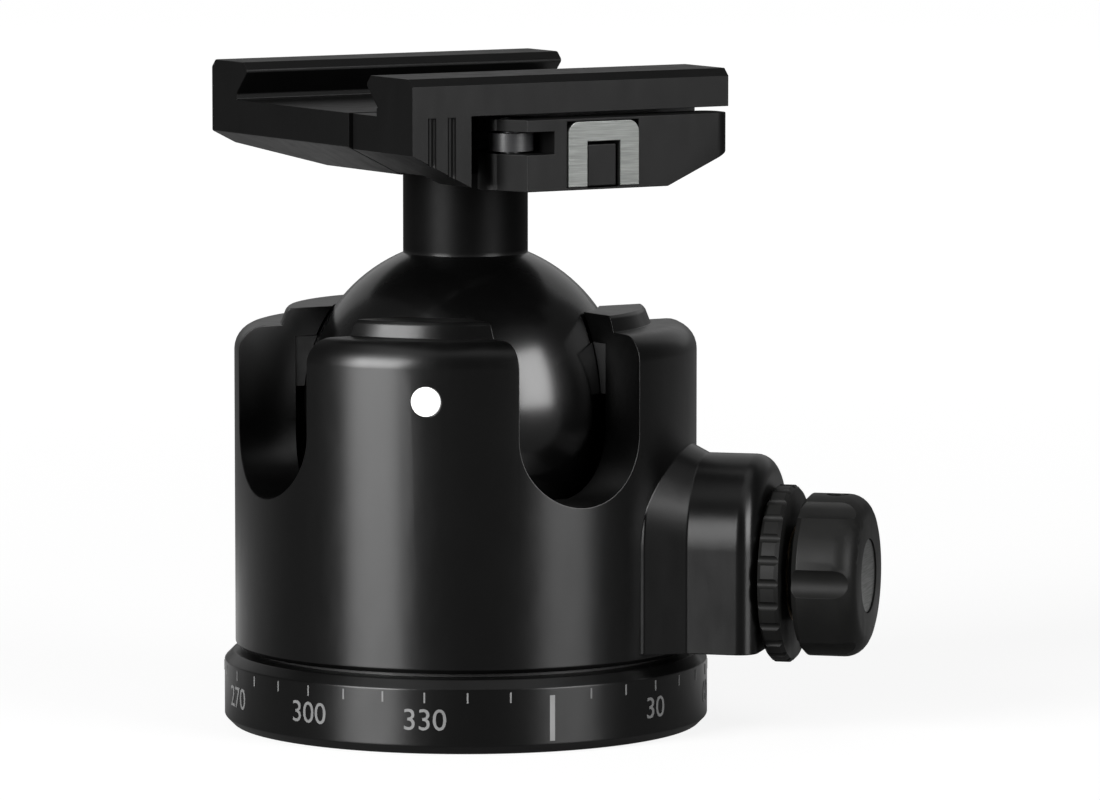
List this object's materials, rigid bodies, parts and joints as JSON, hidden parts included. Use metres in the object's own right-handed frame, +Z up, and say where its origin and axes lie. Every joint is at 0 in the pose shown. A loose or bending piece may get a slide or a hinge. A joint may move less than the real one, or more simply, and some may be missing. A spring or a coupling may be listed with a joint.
{
  "type": "camera ball head",
  "caption": "Tripod ball head with a panning base, a notched housing, a side lock knob with friction ring, a ball on a stem and a lever clamp for dovetail plates.",
  "frame": {"origin": "centre of the base's lower face, at the mouth of the tripod thread", "axes": "+Z up along the pan axis; +X along the clamp's dovetail, -Y towards the clamp's lever"},
  "size_m": [0.0793, 0.0817, 0.09],
  "materials": {
    "black_anodised": "satin",
    "ball_black": "gloss",
    "knob_black": "satin",
    "steel": "brushed",
    "silver": "satin",
    "bronze": "satin",
    "race_plastic": "matte",
    "black_oxide": "satin",
    "dot_white": "gloss"
  },
  "bodies": {
    "base": {"base_plate": "black_anodised", "thread_insert": "steel", "pan_spindle": "steel", "base_screws": "steel", "pan_washer": "race_plastic", "retaining_nut": "steel"},
    "housing": {"housing": "black_anodised", "housing_floor": "black_anodised", "upper_race": "race_plastic", "main_bush": "bronze", "fulcrum_block": "steel", "index_dot": "dot_white"},
    "main_knob": {"main_knob": "knob_black", "main_shaft": "steel", "knob_cap": "silver", "knob_grub": "steel"},
    "friction": {"friction_ring": "knob_black", "friction_sleeve": "bronze"},
    "wedge": {"wedge_block": "steel"},
    "cup": {"lower_cup": "race_plastic"},
    "pan_knob": {"pan_knob": "knob_black", "pan_screw": "steel"},
    "pan_shoe": {"pan_shoe": "bronze"},
    "ball": {"ball_stem": "ball_black"},
    "clamp": {"clamp_base": "black_anodised", "clamp_bolt": "steel", "draw_bolt": "black_oxide", "draw_nut": "black_oxide", "lever_pin": "black_oxide", "jaw_springs": "steel"},
    "jaw": {"movable_jaw": "black_anodised", "guide_pins": "steel"},
    "lever": {"lever": "black_anodised", "catch_frame": "silver", "button_spring": "steel"},
    "button": {"safety_button": "knob_black"}
  },
  "joints": [
    {"name": "pan_turn", "type": "hinge", "parent": "base", "child": "housing", "pos_m": [0, 0, 0], "axis": [0, 0, 1], "continuous": true},
    {"name": "main_knob_turn", "type": "hinge", "parent": "housing", "child": "main_knob", "pos_m": [0, 0, 0.0216], "axis": [0.7071, -0.7071, 0], "range_deg": [0, 360]},
    {"name": "wedge_slide", "type": "slide", "parent": "housing", "child": "wedge", "axis": [0.7071, -0.7071, 0], "range_m": [0, 0.00124]},
    {"name": "cup_lift", "type": "slide", "parent": "housing", "child": "cup", "axis": [0, 0, -1], "range_m": [0, 0.00015]},
    {"name": "friction_turn", "type": "hinge", "parent": "housing", "child": "friction", "pos_m": [0, 0, 0.0216], "axis": [0.7071, -0.7071, 0], "range_deg": [0, 270]},
    {"name": "pan_knob_turn", "type": "hinge", "parent": "housing", "child": "pan_knob", "pos_m": [0, 0, 0.0138], "axis": [0.7071, 0.7071, 0], "range_deg": [0, 270]},
    {"name": "pan_shoe_slide", "type": "slide", "parent": "housing", "child": "pan_shoe", "axis": [0.7071, 0.7071, 0], "range_m": [0, 0.000499]},
    {"name": "ball_tilt", "type": "hinge", "parent": "housing", "child": "ball", "pos_m": [0, 0, 0.044], "axis": [0, -1, 0], "range_deg": [-55, 90]},
    {"name": "ball_spin", "type": "hinge", "parent": "ball", "child": "clamp", "pos_m": [0, 0, 0.044], "axis": [0, 0, 1], "continuous": true},
    {"name": "lever_swing", "type": "hinge", "parent": "clamp", "child": "lever", "pos_m": [-0.008, -0.0256, 0.0808], "axis": [0, 0, -1], "range_deg": [0, 100]},
    {"name": "jaw_slide", "type": "slide", "parent": "clamp", "child": "jaw", "axis": [0, -1, 0], "range_m": [0, 0.0022]},
    {"name": "button_press", "type": "slide", "parent": "lever", "child": "button", "axis": [0, 1, 0], "range_m": [0, 0.0012], "stiffness_N_per_m": 300, "springref_m": -0.001}
  ],
  "couplings": [
    {"joint": "main_knob_turn", "follows": "wedge_slide", "rad_per_m": 5050.5},
    {"joint": "cup_lift", "follows": "wedge_slide", "ratio": 0.1197},
    {"joint": "pan_knob_turn", "follows": "pan_shoe_slide", "rad_per_m": 9434},
    {"joint": "lever_swing", "follows": "jaw_slide", "rad_per_m": 793.65}
  ]
}
